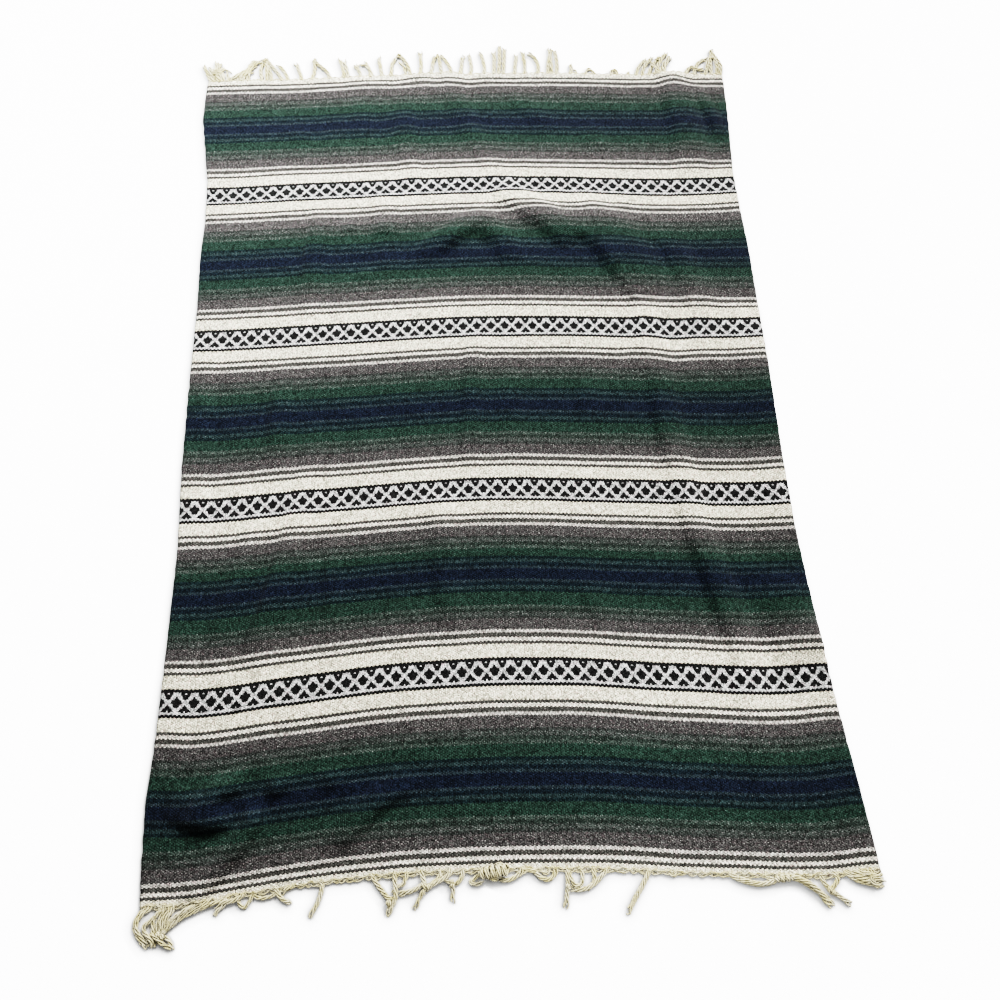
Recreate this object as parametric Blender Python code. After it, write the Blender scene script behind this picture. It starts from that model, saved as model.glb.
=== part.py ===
"""Hand-loomed serape blanket lying flat: a woven panel and the knotted warp fringe at both ends.

Metres, +Z up. The blanket's length runs along Y and its width along X. The origin is on the
floor, under the middle of the whole footprint.
"""
from collections import namedtuple
from math import cos, hypot, pi

import bmesh
import bpy

# ---- driving sizes -----------------------------------------------------------------------
CLOTH_LENGTH = 1.814        # hem to hem along the warp
CLOTH_THICKNESS = 0.003
NEAR_HEM_Y = -0.891         # middle of the near hem
HEADER_DEPTH = 0.010        # last picks of the cloth, which the warp ends leave
SEAM_GAP = 0.0003
PANEL_COLUMNS = 52
PANEL_ROWS = 40
HEADER_COLUMNS = 52
STRAND_FLOOR_GAP = 0.0005   # a loose strand's underside ends this far above the floor
STRAND_HEIGHT = 0.0026
STRAND_TAPER = 0.75         # a strand's width at its tip, as a part of its width at the root
STRAND_RINGS = 4

# ---- plan of the cloth -------------------------------------------------------------------
# One row for each weft line that is stated. `along` is the distance from the near hem on the
# cloth itself, `left` and `right` are where the selvedges lie, and the five bows say how far the
# weft line lies from straight at the left edge, the quarters, the middle and the right edge.
Station = namedtuple(
    "Station", "along left right bow_left bow_quarter bow_middle bow_three_quarter bow_right")
STATIONS = (
    Station(0.000, -0.648, 0.684, -0.045, -0.010, 0.000, -0.018, -0.027),
    Station(0.036, -0.647, 0.681, -0.046, -0.011, 0.001, -0.017, -0.027),
    Station(0.258, -0.641, 0.655, -0.036, -0.010, 0.008, -0.013, -0.023),
    Station(0.416, -0.634, 0.638, -0.031, -0.005, 0.013, -0.007, -0.020),
    Station(0.638, -0.630, 0.623, -0.030, -0.011, 0.003, -0.013, -0.026),
    Station(0.796, -0.637, 0.617, -0.024, -0.012, 0.001, -0.012, -0.026),
    Station(1.018, -0.638, 0.616, -0.016, -0.007, 0.003, -0.010, -0.020),
    Station(1.176, -0.639, 0.614, -0.015, -0.005, 0.003, -0.009, -0.021),
    Station(1.398, -0.638, 0.604, -0.009, -0.002, 0.004, 0.000, -0.008),
    Station(1.556, -0.646, 0.605, -0.009, -0.009, -0.003, -0.015, -0.020),
    Station(1.778, -0.664, 0.611, -0.013, -0.010, -0.006, -0.020, -0.029),
    Station(1.814, -0.664, 0.612, -0.011, -0.010, -0.006, -0.021, -0.029),
)

# ---- folds -------------------------------------------------------------------------------
# One row for each ridge in the cloth, from its near or right end to its far or left end. The
# two widths are how far it spreads to the left and to the right of someone walking along it.
Fold = namedtuple("Fold", "start_x start_y end_x end_y height left_width right_width")
FOLDS = (
    # the long ridge down the right side, which turns in at its far end
    Fold(0.510, -0.560, 0.450, -0.270, 0.009, 0.050, 0.055),
    Fold(0.455, -0.340, 0.395, -0.010, 0.011, 0.055, 0.050),
    Fold(0.402, -0.110, 0.356, 0.260, 0.014, 0.060, 0.045),
    Fold(0.368, 0.130, 0.352, 0.430, 0.014, 0.060, 0.045),
    Fold(0.372, 0.330, 0.235, 0.520, 0.013, 0.055, 0.060),
    Fold(0.225, 0.410, 0.080, 0.550, 0.010, 0.050, 0.060),
    Fold(0.580, -0.580, 0.505, -0.250, 0.006, 0.045, 0.045),
    # the short arc in the middle of the second dark band
    Fold(0.055, 0.370, -0.015, 0.500, 0.008, 0.045, 0.050),
    Fold(0.030, 0.480, -0.160, 0.415, 0.009, 0.040, 0.055),
    # lengthwise ripples of the far half
    Fold(-0.200, 0.260, -0.222, 0.600, 0.007, 0.045, 0.045),
    Fold(0.100, 0.260, 0.095, 0.640, 0.007, 0.050, 0.050),
    Fold(-0.168, 0.520, -0.184, 1.000, 0.008, 0.036, 0.036),
    Fold(-0.005, 0.540, -0.008, 1.020, 0.008, 0.060, 0.060),
    Fold(0.506, 0.580, 0.486, 1.080, 0.014, 0.042, 0.042),
    Fold(-0.280, 0.680, -0.282, 0.890, 0.005, 0.035, 0.045),
    Fold(-0.390, 0.260, -0.390, 0.520, 0.005, 0.035, 0.040),
    Fold(0.478, 0.215, 0.440, 0.400, 0.005, 0.035, 0.045),
    # lengthwise ripples of the middle
    Fold(-0.066, -0.190, -0.050, 0.240, 0.009, 0.034, 0.036),
    Fold(0.088, -0.190, 0.024, 0.260, 0.009, 0.036, 0.038),
    Fold(-0.480, -0.140, -0.496, 0.240, 0.007, 0.034, 0.036),
    Fold(0.310, 0.010, 0.190, 0.090, 0.006, 0.045, 0.045),
    # lengthwise ripples of the near half
    Fold(-0.140, -0.480, -0.136, -0.160, 0.006, 0.036, 0.045),
    Fold(-0.480, -0.550, -0.415, -0.230, 0.007, 0.036, 0.045),
    Fold(-0.315, -0.500, -0.312, -0.220, 0.005, 0.040, 0.045),
    # slanting ridges of the near left corner
    Fold(-0.430, -0.705, -0.620, -0.780, 0.010, 0.040, 0.065),
    Fold(-0.500, -0.910, -0.405, -0.800, 0.006, 0.032, 0.045),
    Fold(-0.270, -0.870, -0.110, -0.775, 0.007, 0.038, 0.050),
    # selvedges that curl up a little
    Fold(0.652, -0.560, 0.620, 0.200, 0.008, 0.075, 0.075),
    Fold(-0.640, -0.620, -0.640, 0.280, 0.007, 0.065, 0.065),
)
FOLD_END_SHARE = 0.32       # share of a ridge's length over which each end fades out

# ---- fringe ------------------------------------------------------------------------------
# One row for each strand or lock: where it leaves the hem, a point it bends through and its
# tip. `out` is the distance beyond the hem.
Strand = namedtuple("Strand", "root_x bend_x bend_out tip_x tip_out width")
FAR_STRANDS = (
    Strand(-0.658, -0.669, 0.028, -0.687, 0.054, 0.0040),
    Strand(-0.651, -0.658, 0.033, -0.668, 0.056, 0.0040),
    Strand(-0.644, -0.649, 0.036, -0.652, 0.062, 0.0040),
    Strand(-0.637, -0.641, 0.030, -0.643, 0.052, 0.0040),
    Strand(-0.630, -0.632, 0.025, -0.634, 0.044, 0.0040),
    Strand(-0.622, -0.621, 0.016, -0.625, 0.031, 0.0040),
    Strand(-0.610, -0.603, 0.010, -0.592, 0.016, 0.0050),
    Strand(-0.595, -0.589, 0.012, -0.581, 0.018, 0.0050),
    Strand(-0.577, -0.569, 0.026, -0.558, 0.050, 0.0050),
    Strand(-0.538, -0.542, 0.028, -0.536, 0.058, 0.0045),
    Strand(-0.510, -0.518, 0.030, -0.527, 0.065, 0.0045),
    Strand(-0.488, -0.501, 0.028, -0.516, 0.058, 0.0045),
    Strand(-0.470, -0.483, 0.026, -0.499, 0.050, 0.0045),
    Strand(-0.436, -0.443, 0.026, -0.453, 0.053, 0.0040),
    Strand(-0.411, -0.407, 0.034, -0.408, 0.062, 0.0045),
    Strand(-0.366, -0.380, 0.024, -0.399, 0.054, 0.0045),
    Strand(-0.330, -0.336, 0.030, -0.344, 0.064, 0.0040),
    Strand(-0.320, -0.325, 0.028, -0.333, 0.056, 0.0040),
    Strand(-0.290, -0.297, 0.018, -0.307, 0.038, 0.0040),
    Strand(-0.264, -0.271, 0.022, -0.281, 0.045, 0.0040),
    Strand(-0.237, -0.241, 0.030, -0.247, 0.063, 0.0045),
    Strand(-0.213, -0.210, 0.030, -0.201, 0.058, 0.0045),
    Strand(-0.166, -0.177, 0.028, -0.192, 0.060, 0.0045),
    Strand(-0.141, -0.139, 0.034, -0.141, 0.068, 0.0040),
    Strand(-0.114, -0.110, 0.030, -0.103, 0.057, 0.0045),
    Strand(-0.088, -0.092, 0.030, -0.095, 0.060, 0.0045),
    Strand(-0.064, -0.072, 0.025, -0.086, 0.052, 0.0045),
    Strand(-0.041, -0.038, 0.028, -0.036, 0.052, 0.0040),
    Strand(-0.016, -0.014, 0.034, -0.020, 0.070, 0.0045),
    Strand(0.019, 0.018, 0.034, 0.011, 0.069, 0.0045),
    Strand(0.042, 0.044, 0.034, 0.046, 0.068, 0.0040),
    Strand(0.054, 0.058, 0.040, 0.059, 0.088, 0.0045),
    Strand(0.066, 0.069, 0.040, 0.072, 0.080, 0.0040),
    Strand(0.094, 0.098, 0.032, 0.102, 0.058, 0.0040),
    Strand(0.119, 0.120, 0.032, 0.116, 0.070, 0.0040),
    Strand(0.152, 0.150, 0.026, 0.136, 0.056, 0.0040),
    Strand(0.177, 0.179, 0.034, 0.185, 0.072, 0.0045),
    Strand(0.188, 0.189, 0.034, 0.194, 0.078, 0.0045),
    Strand(0.198, 0.201, 0.034, 0.204, 0.062, 0.0045),
    Strand(0.234, 0.234, 0.018, 0.234, 0.036, 0.0050),
    Strand(0.273, 0.275, 0.010, 0.281, 0.018, 0.0045),
    Strand(0.334, 0.336, 0.010, 0.342, 0.018, 0.0045),
    Strand(0.374, 0.376, 0.012, 0.382, 0.022, 0.0040),
    Strand(0.398, 0.409, 0.030, 0.430, 0.054, 0.0040),
    Strand(0.412, 0.424, 0.032, 0.448, 0.062, 0.0040),
    Strand(0.428, 0.440, 0.030, 0.464, 0.060, 0.0040),
    Strand(0.446, 0.458, 0.034, 0.482, 0.071, 0.0040),
    Strand(0.462, 0.474, 0.030, 0.490, 0.056, 0.0040),
    Strand(0.520, 0.530, 0.018, 0.546, 0.030, 0.0040),
    Strand(0.548, 0.559, 0.028, 0.574, 0.046, 0.0040),
    Strand(0.571, 0.578, 0.032, 0.586, 0.056, 0.0040),
    Strand(0.585, 0.589, 0.040, 0.595, 0.082, 0.0045),
    Strand(0.598, 0.601, 0.034, 0.603, 0.064, 0.0040),
    Strand(0.608, 0.612, 0.030, 0.615, 0.056, 0.0040),
)
NEAR_STRANDS = (
    # corner tassel
    Strand(-0.642, -0.652, 0.024, -0.631, 0.066, 0.0045),
    Strand(-0.633, -0.642, 0.026, -0.622, 0.064, 0.0045),
    Strand(-0.624, -0.631, 0.026, -0.612, 0.060, 0.0045),
    Strand(-0.614, -0.619, 0.026, -0.602, 0.056, 0.0045),
    Strand(-0.604, -0.609, 0.026, -0.589, 0.066, 0.0045),
    Strand(-0.594, -0.599, 0.024, -0.580, 0.066, 0.0045),
    Strand(-0.583, -0.589, 0.020, -0.577, 0.052, 0.0045),
    # bundle that sweeps along the hem towards the corner
    Strand(-0.552, -0.566, 0.014, -0.580, 0.036, 0.0050),
    Strand(-0.532, -0.550, 0.016, -0.570, 0.037, 0.0050),
    Strand(-0.510, -0.526, 0.018, -0.548, 0.030, 0.0050),
    Strand(-0.492, -0.504, 0.016, -0.518, 0.026, 0.0060),
    Strand(-0.466, -0.462, 0.016, -0.450, 0.018, 0.0045),
    Strand(-0.436, -0.428, 0.012, -0.410, 0.015, 0.0045),
    Strand(-0.398, -0.391, 0.014, -0.373, 0.027, 0.0060),
    Strand(-0.316, -0.325, 0.026, -0.339, 0.056, 0.0050),
    Strand(-0.234, -0.224, 0.020, -0.210, 0.036, 0.0045),
    Strand(-0.190, -0.188, 0.030, -0.202, 0.062, 0.0055),
    Strand(-0.168, -0.174, 0.020, -0.182, 0.036, 0.0045),
    Strand(-0.138, -0.140, 0.026, -0.152, 0.056, 0.0055),
    Strand(-0.120, -0.124, 0.016, -0.131, 0.026, 0.0055),
    Strand(-0.106, -0.092, 0.018, -0.089, 0.052, 0.0050),
    Strand(-0.066, -0.074, 0.012, -0.082, 0.018, 0.0045),
    # knotted lump and its loops
    Strand(-0.052, -0.048, 0.014, -0.036, 0.022, 0.0045),
    Strand(-0.030, -0.026, 0.010, -0.018, 0.016, 0.0080),
    Strand(-0.008, -0.004, 0.010, 0.004, 0.016, 0.0080),
    Strand(0.016, 0.020, 0.012, 0.030, 0.014, 0.0050),
    Strand(0.056, 0.062, 0.012, 0.076, 0.020, 0.0045),
    Strand(0.098, 0.097, 0.012, 0.091, 0.019, 0.0045),
    Strand(0.124, 0.120, 0.032, 0.114, 0.068, 0.0055),
    Strand(0.144, 0.146, 0.020, 0.138, 0.034, 0.0045),
    Strand(0.166, 0.166, 0.018, 0.154, 0.034, 0.0045),
    Strand(0.190, 0.186, 0.018, 0.172, 0.030, 0.0045),
    Strand(0.264, 0.251, 0.028, 0.223, 0.071, 0.0055),
    Strand(0.414, 0.436, 0.012, 0.468, 0.021, 0.0050),
    Strand(0.488, 0.494, 0.010, 0.506, 0.014, 0.0060),
    Strand(0.524, 0.545, 0.022, 0.574, 0.052, 0.0050),
    Strand(0.540, 0.558, 0.018, 0.586, 0.048, 0.0050),
    Strand(0.575, 0.580, 0.016, 0.592, 0.028, 0.0045),
    Strand(0.604, 0.603, 0.022, 0.617, 0.049, 0.0050),
    # far end of the right corner
    Strand(0.630, 0.640, 0.018, 0.660, 0.034, 0.0050),
    Strand(0.646, 0.655, 0.014, 0.672, 0.026, 0.0050),
    Strand(0.664, 0.672, 0.011, 0.687, 0.020, 0.0050),
)

# ---- finishes ----------------------------------------------------------------------------
CLOTH_COLOUR = (0.045, 0.070, 0.060)
FRINGE_COLOUR = (0.78, 0.74, 0.60)
CLOTH_ROUGHNESS = 0.95


def clear_scene():
    for thing in list(bpy.data.objects):
        bpy.data.objects.remove(thing, do_unlink=True)


def material(name, colour):
    finish = bpy.data.materials.new(name)
    finish.use_nodes = True
    shader = finish.node_tree.nodes["Principled BSDF"]
    shader.inputs["Base Color"].default_value = (*colour, 1.0)
    shader.inputs["Roughness"].default_value = CLOTH_ROUGHNESS
    shader.inputs["Metallic"].default_value = 0.0
    return finish


# ---- shape of the cloth ------------------------------------------------------------------
def smooth_between(before, first, second, after, share):
    """Cubic curve from `first` to `second` that also suits its two neighbours."""
    slope_in = (second - before) / 2
    slope_out = (after - first) / 2
    square = share * share
    cube = square * share
    return ((2 * cube - 3 * square + 1) * first + (cube - 2 * square + share) * slope_in
            + (3 * square - 2 * cube) * second + (cube - square) * slope_out)


def read_smooth(values, place):
    """Value at a fractional place in a list, along a smooth curve."""
    last = len(values) - 1
    index = min(int(place), last - 1)
    return smooth_between(values[max(index - 1, 0)], values[index], values[index + 1],
                          values[min(index + 2, last)], place - index)


def station_at(along):
    """The plan of the weft line at a distance along the cloth."""
    index = 0
    while index < len(STATIONS) - 2 and along > STATIONS[index + 1].along:
        index += 1
    low, high = STATIONS[index], STATIONS[index + 1]
    share = (along - low.along) / (high.along - low.along)
    eased = share * share * (3 - 2 * share)
    mixed = [a + (b - a) * (share if name in ("left", "right") else (share + eased) / 2)
             for name, a, b in zip(Station._fields, low, high)]
    return Station(along, *mixed[1:])


def plan_point(across, along):
    """Place on the floor plan of a point of the cloth. `across` is 0 at the left edge, 1 right."""
    line = station_at(along)
    bows = line[3:]
    bow = read_smooth(bows, across * (len(bows) - 1))
    x = line.left + (line.right - line.left) * across
    return x, NEAR_HEM_Y + along + bow


def ridge_height(fold, x, y):
    run_x, run_y = fold.end_x - fold.start_x, fold.end_y - fold.start_y
    length = hypot(run_x, run_y)
    run_x, run_y = run_x / length, run_y / length
    from_x, from_y = x - fold.start_x, y - fold.start_y
    share = (from_x * run_x + from_y * run_y) / length
    if not 0 < share < 1:
        return 0.0
    to_left = from_y * run_x - from_x * run_y
    width = fold.left_width if to_left > 0 else fold.right_width
    spread = abs(to_left) / width
    if spread >= 1:
        return 0.0
    fade = min(1.0, min(share, 1 - share) / FOLD_END_SHARE)
    return fold.height * 0.5 * (1 + cos(pi * spread)) * 0.5 * (1 - cos(pi * fade))


def lift(x, y):
    """Height of the cloth's underside above the floor: ridges that meet run into each other."""
    heights = [ridge_height(fold, x, y) for fold in FOLDS]
    tallest = max(heights)
    if tallest == 0.0:
        return 0.0
    return tallest + 0.35 * min(sum(heights) - tallest, tallest)


def cloth_point(across, along, above):
    x, y = plan_point(across, along)
    return x, y, lift(x, y) + above


# ---- solids ------------------------------------------------------------------------------
def finish_object(name, mesh, finish):
    mesh.materials.append(finish)
    thing = bpy.data.objects.new(name, mesh)
    bpy.context.collection.objects.link(thing)
    return thing


def woven_panel(finish):
    """The cloth between the two headers, as a wall of even thickness."""
    low = HEADER_DEPTH + SEAM_GAP
    high = CLOTH_LENGTH - HEADER_DEPTH - SEAM_GAP
    bm = bmesh.new()
    layers = []
    for above in (CLOTH_THICKNESS, 0.0):
        layer = []
        for row in range(PANEL_ROWS + 1):
            along = low + (high - low) * row / PANEL_ROWS
            layer.append([bm.verts.new(cloth_point(column / PANEL_COLUMNS, along, above))
                          for column in range(PANEL_COLUMNS + 1)])
        layers.append(layer)
    top, bottom = layers
    for row in range(PANEL_ROWS):
        for column in range(PANEL_COLUMNS):
            corners = ((row, column), (row, column + 1), (row + 1, column + 1), (row + 1, column))
            bm.faces.new([top[r][c] for r, c in corners])
            bm.faces.new([bottom[r][c] for r, c in reversed(corners)])
    rim = [(0, c) for c in range(PANEL_COLUMNS)]
    rim += [(r, PANEL_COLUMNS) for r in range(PANEL_ROWS)]
    rim += [(PANEL_ROWS, c) for c in range(PANEL_COLUMNS, 0, -1)]
    rim += [(r, 0) for r in range(PANEL_ROWS, 0, -1)]
    for here, after in zip(rim, rim[1:] + rim[:1]):
        bm.faces.new([bottom[here[0]][here[1]], bottom[after[0]][after[1]],
                      top[after[0]][after[1]], top[here[0]][here[1]]])
    mesh = bpy.data.meshes.new("woven_panel")
    bm.to_mesh(mesh)
    bm.free()
    return finish_object("woven_panel", mesh, finish)


def share_across(x, along):
    line = station_at(along)
    return (x - line.left) / (line.right - line.left)


def strand_rings(root, strand, outward):
    """The four-cornered sections of a strand from its root face to its tip."""
    root_centre = sum(root[1:], root[0].copy()) / 4
    hem_y = root_centre.y
    low_z = STRAND_FLOOR_GAP + STRAND_HEIGHT / 2
    tip = (strand.tip_x, hem_y + outward * strand.tip_out, low_z)
    bend_z = low_z + 0.3 * (root_centre.z - low_z)
    bend = (strand.bend_x, hem_y + outward * strand.bend_out, bend_z)
    pull = [2 * b - (a + c) / 2 for a, b, c in zip(root_centre, bend, tip)]
    rings = []
    for ring in range(1, STRAND_RINGS + 1):
        t = ring / STRAND_RINGS
        centre = [(1 - t) ** 2 * a + 2 * t * (1 - t) * b + t * t * c
                  for a, b, c in zip(root_centre, pull, tip)]
        centre[2] = max(centre[2], low_z)
        ahead_x = (1 - t) * (pull[0] - root_centre.x) + t * (tip[0] - pull[0])
        ahead_y = (1 - t) * (pull[1] - root_centre.y) + t * (tip[1] - pull[1])
        length = hypot(ahead_x, ahead_y)
        half = strand.width / 2 * (1 + (STRAND_TAPER - 1) * t) * outward
        side_x, side_y = ahead_y / length * half, -ahead_x / length * half
        rings.append((centre, (side_x, side_y)))
    return rings


def fringe(name, strands, hem_along, outward, finish):
    """The header strip across one end, with each strand drawn out of its outer face."""
    inner_along = hem_along - outward * HEADER_DEPTH
    left_x, right_x = station_at(hem_along).left, station_at(hem_along).right
    stops = {round(left_x + (right_x - left_x) * c / HEADER_COLUMNS, 6)
             for c in range(HEADER_COLUMNS + 1)}
    for strand in strands:
        low, high = strand.root_x - strand.width / 2, strand.root_x + strand.width / 2
        stops = {x for x in stops if x in (left_x, right_x) or not low - 0.002 < x < high + 0.002}
        stops |= {round(low, 6), round(high, 6)}
    roots = {round(strand.root_x - strand.width / 2, 6): strand for strand in strands}
    bm = bmesh.new()
    rings = []
    for x in sorted(stops):
        across = share_across(x, hem_along)
        corners = [cloth_point(across, inner_along, 0.0),
                   cloth_point(across, inner_along, CLOTH_THICKNESS),
                   cloth_point(across, hem_along, CLOTH_THICKNESS),
                   cloth_point(across, hem_along, 0.0)]
        rings.append((x, [bm.verts.new(corner) for corner in corners]))
    outer_faces = []
    for (x, here), (_, after) in zip(rings, rings[1:]):
        for side in range(4):
            face = bm.faces.new([here[side], here[(side + 1) % 4],
                                 after[(side + 1) % 4], after[side]])
            if side == 2 and x in roots:
                outer_faces.append((face, roots[x]))
    bm.faces.new(rings[0][1])
    bm.faces.new(list(reversed(rings[-1][1])))
    for face, strand in outer_faces:
        root = [corner.co.copy() for corner in face.verts]
        middle_x = sum(corner.x for corner in root) / 4
        middle_z = sum(corner.z for corner in root) / 4
        sides = [(1 if corner.x > middle_x else -1, 1 if corner.z > middle_z else -1)
                 for corner in root]
        for centre, side in strand_rings(root, strand, outward):
            face = bmesh.ops.extrude_discrete_faces(bm, faces=[face])["faces"][0]
            for corner, (to_side, upward) in zip(face.verts, sides):
                corner.co = (centre[0] + to_side * side[0], centre[1] + to_side * side[1],
                             centre[2] + upward * STRAND_HEIGHT / 2)
    bmesh.ops.recalc_face_normals(bm, faces=bm.faces)
    mesh = bpy.data.meshes.new(name)
    bm.to_mesh(mesh)
    bm.free()
    return finish_object(name, mesh, finish)


def main():
    clear_scene()
    woven_panel(material("woven_cloth", CLOTH_COLOUR))
    yarn = material("warp_yarn", FRINGE_COLOUR)
    fringe("fringe_far", FAR_STRANDS, CLOTH_LENGTH, 1, yarn)
    fringe("fringe_near", NEAR_STRANDS, 0.0, -1, yarn)


main()
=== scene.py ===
import random
from collections import namedtuple
from math import cos, hypot, pi, radians, sin

import bmesh
import bpy
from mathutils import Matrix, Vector, noise


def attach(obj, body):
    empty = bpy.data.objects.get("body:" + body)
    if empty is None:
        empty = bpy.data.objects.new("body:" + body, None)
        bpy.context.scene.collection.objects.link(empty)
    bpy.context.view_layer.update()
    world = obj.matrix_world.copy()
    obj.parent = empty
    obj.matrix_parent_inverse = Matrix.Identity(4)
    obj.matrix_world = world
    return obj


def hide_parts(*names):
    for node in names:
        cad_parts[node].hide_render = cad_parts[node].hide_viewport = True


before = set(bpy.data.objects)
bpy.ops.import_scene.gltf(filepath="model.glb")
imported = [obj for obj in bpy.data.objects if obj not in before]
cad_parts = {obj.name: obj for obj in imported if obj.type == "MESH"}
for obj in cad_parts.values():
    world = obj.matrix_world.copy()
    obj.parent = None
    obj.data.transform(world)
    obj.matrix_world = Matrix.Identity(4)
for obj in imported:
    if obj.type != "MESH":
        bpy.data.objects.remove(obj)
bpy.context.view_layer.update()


# one node with its settings (attributes by name, sockets by number or name) and its links
def addNode(tree, kind, settings=None, links=None):
    node = tree.nodes.new("ShaderNode" + kind)
    for key, value in (settings or {}).items():
        if key == "stops":  # a ramp's colours, each held until the next one's place
            ramp = node.color_ramp
            ramp.interpolation = "CONSTANT"
            ramp.elements.remove(ramp.elements[1])
            ramp.elements[0].color = value[0][1]
            for spot, shade in value[1:]:
                ramp.elements.new(spot).color = shade
        elif isinstance(key, int) or key in node.inputs:
            node.inputs[key].default_value = value
        else:
            setattr(node, key, value)
    for socket, source in (links or {}).items():
        tree.links.new(getattr(source, "outputs", [source])[0], node.inputs[socket])
    return node


# "c8b090" as linear red, green and blue with alpha
def colour(code, alpha=1.0):
    parts = [int(code[i:i + 2], 16) / 255 for i in (0, 2, 4)]
    return (*[p / 12.92 if p <= 0.04045 else ((p + 0.055) / 1.055) ** 2.4 for p in parts], alpha)


# a new material, its nodes and its shader, with constants on the shader's own sockets
def startMaterial(name, surface):
    material = bpy.data.materials.new(name)
    material.use_nodes = True
    shader = material.node_tree.nodes["Principled BSDF"]
    for socket, value in surface.items():
        shader.inputs[socket].default_value = value
    return material, material.node_tree, shader


# arithmetic on constants and sources, in the order of the node's sockets
def doMath(operation, *terms, kind="Math"):
    constants = {i: term for i, term in enumerate(terms) if isinstance(term, (int, float, tuple))}
    sources = {i: term for i, term in enumerate(terms) if i not in constants}
    tree = next(iter(sources.values())).id_data
    return addNode(tree, kind, {"operation": operation, **constants}, sources)


def doVectors(operation, *terms):
    return doMath(operation, *terms, kind="VectorMath")


# a value carried over from start..end to low..high
def spread(value, start=0.0, end=1.0, low=0.0, high=1.0, **settings):
    ranges = {"From Min": start, "From Max": end, "To Min": low, "To Max": high}
    return addNode(value.id_data, "MapRange", {**ranges, **settings}, {0: value})


# a colour between two others, each a constant or a source
def blend(share, first, second):
    shades = {6: first, 7: second}
    settings = {socket: shade for socket, shade in shades.items() if isinstance(shade, tuple)}
    links = {socket: shade for socket, shade in shades.items() if socket not in settings}
    mix = addNode(share.id_data, "Mix", {"data_type": "RGBA", **settings}, {0: share, **links})
    return mix.outputs[2]


# noise on the cloth, with grains so many mm across and along
def clothNoise(inMm, grain, detail=2.0, roughness=0.5, shift=(0, 0)):
    place = doVectors("MULTIPLY_ADD", inMm, (1 / grain[0], 1 / grain[1], 0), (*shift, 0))
    settings = {"Scale": 1.0, "Detail": detail, "Roughness": roughness}
    return addNode(inMm.id_data, "TexNoise", settings, {"Vector": place})


def addObject(name, data):
    thing = bpy.data.objects.new(name, data)
    bpy.context.collection.objects.link(thing)
    return thing


def finishPiece(name, mesh, material, node):
    mesh.materials.append(material)
    piece = addObject(name, mesh)
    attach(piece, "root")
    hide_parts(node)
    return piece


# The woven cloth: dyed acrylic and cotton weft, packed tight over a sparse warp, so that only weft
# shows. It is matt and hairy, and every stripe edge has teeth where neighbouring warps carry picks
# half a bead apart.
wovenLook = {
    "repeat": 378.9,        # mm along the warp from one dark band's middle to the next
    "firstBand": 145.8,     # mm from the near hem to the middle of the first dark band
    "lateBy": 5.5,          # mm that the second band's blues and the green beside them are late
    "lateReach": 48.0,      # mm each way from that band's middle over which they are
    "palerStripe": 1382.0,  # middle of a heather stripe from a paler batch, mm from the near hem
    "palerReach": 11.5,     # mm each way from its middle
    "palerTone": 1.2,
    "wander": 2.0,          # mm that a pick strays to and fro
    "fuzz": 1.2,            # mm over which loose fibre blurs the edge of a stripe
    "chartFuzz": 1.1,       # and of a diamond
    "motifWide": 31.75,     # mm across one diamond repeat
    "motifStart": 1.0,      # mm that the first diamond lies left of the selvedge
    "chartHigh": 52.0,      # mm along the warp that the charted band takes
    "chartPale": "cbcbca",
    "chartBlack": "262626",
    "warpColumns": 4.0,     # columns of the chart over one warp
    "toothHigh": 1.7,       # mm from crest to hollow of a stripe's toothed edge
    "beadHigh": 4.6,        # mm along the warp of one bead of weft
    "edgeShare": 0.3,       # share of a bead over which it rises from the hollow beside it
    "paintedHollowShade": 0.78,     # painted shade: how dark the hollows between beads are painted, with painted light on the crests below
    "paintedCrestLight": 1.04,
    "beadTone": 0.22,       # how far one bead's shade is from the next one's
    "tuftTone": 0.62,       # and one tuft's, four of which make a bead
    "fibreTone": 0.17,      # and one clump of fibre's
    "streakTone": 0.08,     # and one pick's over a hand's width
    "plainTint": (0.99, 1.01, 1.0, 1),
    "plumTint": (1.14, 0.94, 1.0, 1),  # here and there the recycled fibre leans to plum
    "surface": {"Roughness": 0.93, "Specular IOR Level": 0.08, "Sheen Weight": 0.045,
                "Sheen Roughness": 0.6},
}

# one row for each stripe, outwards from the middle of a dark band: where it begins in mm, the
# yarn's ground, the flecks spun into it, and the noise level above which they show
Stripe = namedtuple("Stripe", "begins ground fleck level")
stripes = (
    Stripe(0.0, "1e2632", "535d67", 0.69),      # navy
    Stripe(10.7, "2f393e", "77807d", 0.66),     # navy with pale fibre
    Stripe(17.0, "1d282e", "535f63", 0.70),     # ink
    Stripe(25.0, "2f3c3d", "727a79", 0.66),
    Stripe(32.3, "1e2b2d", "4d6260", 0.70),     # bottle, nearly black
    Stripe(38.0, "2d3e37", "6f7a77", 0.67),     # green
    Stripe(60.0, "3e4843", "8b908b", 0.61),     # sage
    Stripe(67.3, "343c38", "868c83", 0.65),     # pine
    Stripe(74.6, "424744", "8e8f8d", 0.60),     # ash
    Stripe(83.6, "3c3f3d", "8a8b8a", 0.65),     # slate
    Stripe(88.3, "4a4848", "a7a7a1", 0.61),     # heather
    Stripe(110.8, "c4c0ba", "939088", 0.60),    # white
    Stripe(116.7, "4d4c49", "868682", 0.64),    # charcoal
    Stripe(125.2, "e4dfd4", "bab5ab", 0.61),
    Stripe(131.8, "4e4d4a", "6e6d69", 0.66),
    Stripe(138.1, "e8e2cf", "c8c4b0", 0.63),    # cream
)

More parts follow.
